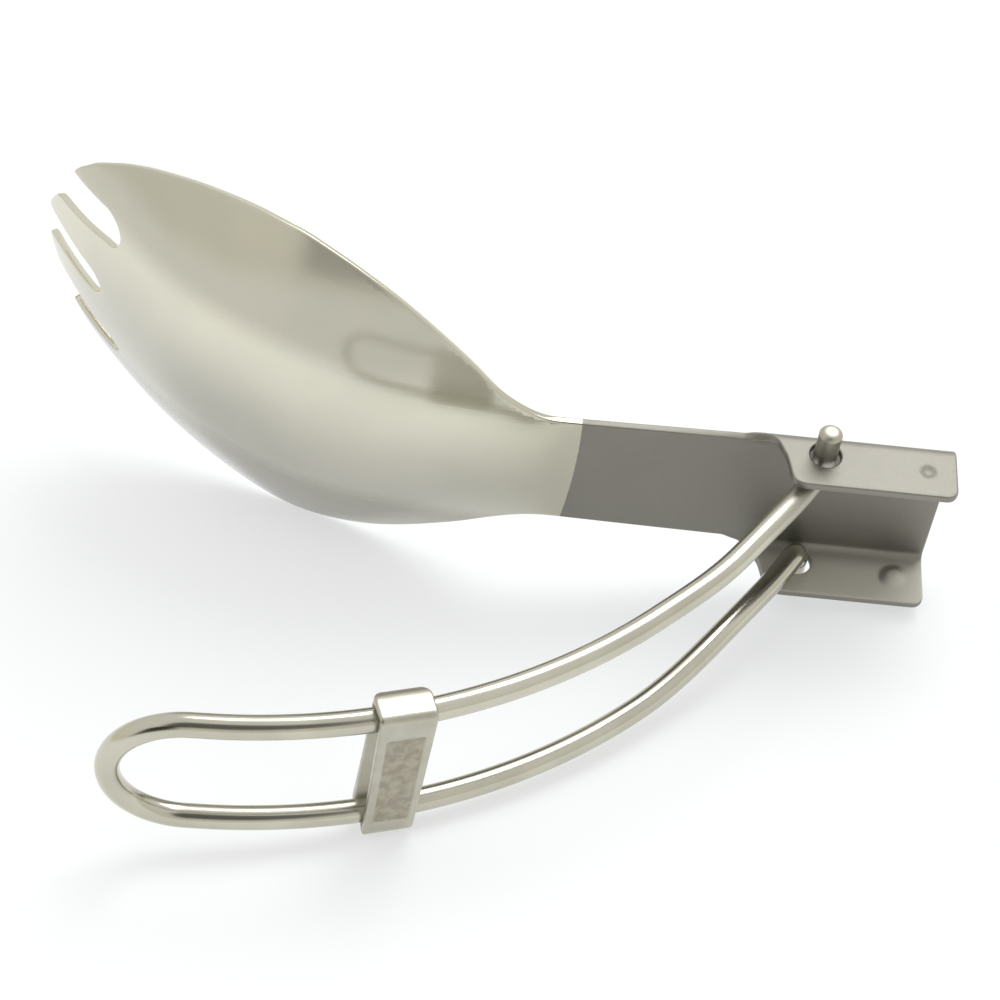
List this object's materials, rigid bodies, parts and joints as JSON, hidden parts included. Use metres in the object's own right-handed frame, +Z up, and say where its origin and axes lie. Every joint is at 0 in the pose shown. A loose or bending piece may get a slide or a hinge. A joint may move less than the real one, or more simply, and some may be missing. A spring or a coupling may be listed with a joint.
{
  "type": "folding camping spork",
  "caption": "Folding spork of pressed sheet metal with a bent wire handle that swings on two pins, and a band-shaped collar that slides along the handle.",
  "frame": {"origin": "centre of the bounding box in X and Y, on the surface that the spork lies on", "axes": "+X along the neck towards the channel's open end, the tines point towards -X; +Y towards the side that the bowl's hollow opens to; +Z up, the spork lies on its side as in the picture, half folded"},
  "size_m": [0.099, 0.0744, 0.0446],
  "materials": {
    "body_sheet": "satin bowl, matt blasted neck and channel",
    "handle_wire": "polished drawn wire",
    "collar_metal": "satin"
  },
  "bodies": {
    "spork": {"spork_body": "body_sheet"},
    "handle": {"wire_handle": "handle_wire"},
    "collar": {"lock_collar": "collar_metal"}
  },
  "joints": [
    {"name": "handle_fold", "type": "hinge", "parent": "spork", "child": "handle", "pos_m": [0.03459, 0.00532, 0.01303], "axis": [0.1104, -0.2002, 0.9735], "range_deg": [-40, 126]},
    {"name": "collar_slide", "type": "hinge", "parent": "handle", "child": "collar", "pos_m": [-0.02741, 0.03155, 0.02545], "axis": [0.1104, -0.2002, 0.9735], "range_deg": [-13, 33.5]}
  ]
}
